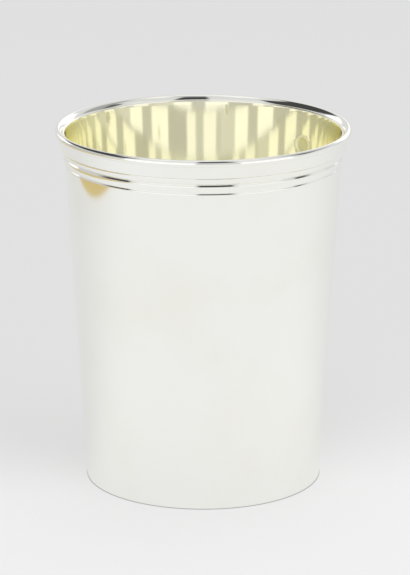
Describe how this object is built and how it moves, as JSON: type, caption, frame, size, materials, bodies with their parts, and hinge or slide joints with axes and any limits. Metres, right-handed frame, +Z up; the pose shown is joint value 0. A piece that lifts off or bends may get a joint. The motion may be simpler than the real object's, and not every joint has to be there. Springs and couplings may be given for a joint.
{
  "type": "silver beaker",
  "caption": "Tapered polished silver drinking beaker with a gilt inside, a moulded lip with a rolled edge over a hollow, and a band of reeds under it.",
  "frame": {"origin": "centre of the foot rim, on the plane that the beaker stands on", "axes": "+Z up along the turning axis, towards the mouth; the picture is taken from -Y, with +X to its right"},
  "size_m": [0.072, 0.072, 0.088],
  "materials": {
    "polished_silver": "mirror polished silver",
    "base_silver": "turned and lightly polished silver",
    "silver_solder": "satin silver solder",
    "gilding": "bright pale gilding"
  },
  "bodies": {
    "root": {"body_wall": "polished_silver", "base_disc": "base_silver", "base_solder_fillet": "silver_solder", "lower_reed": "polished_silver", "upper_reed": "polished_silver", "lip_wire": "polished_silver", "gilt_lining": "gilding"}
  },
  "joints": []
}
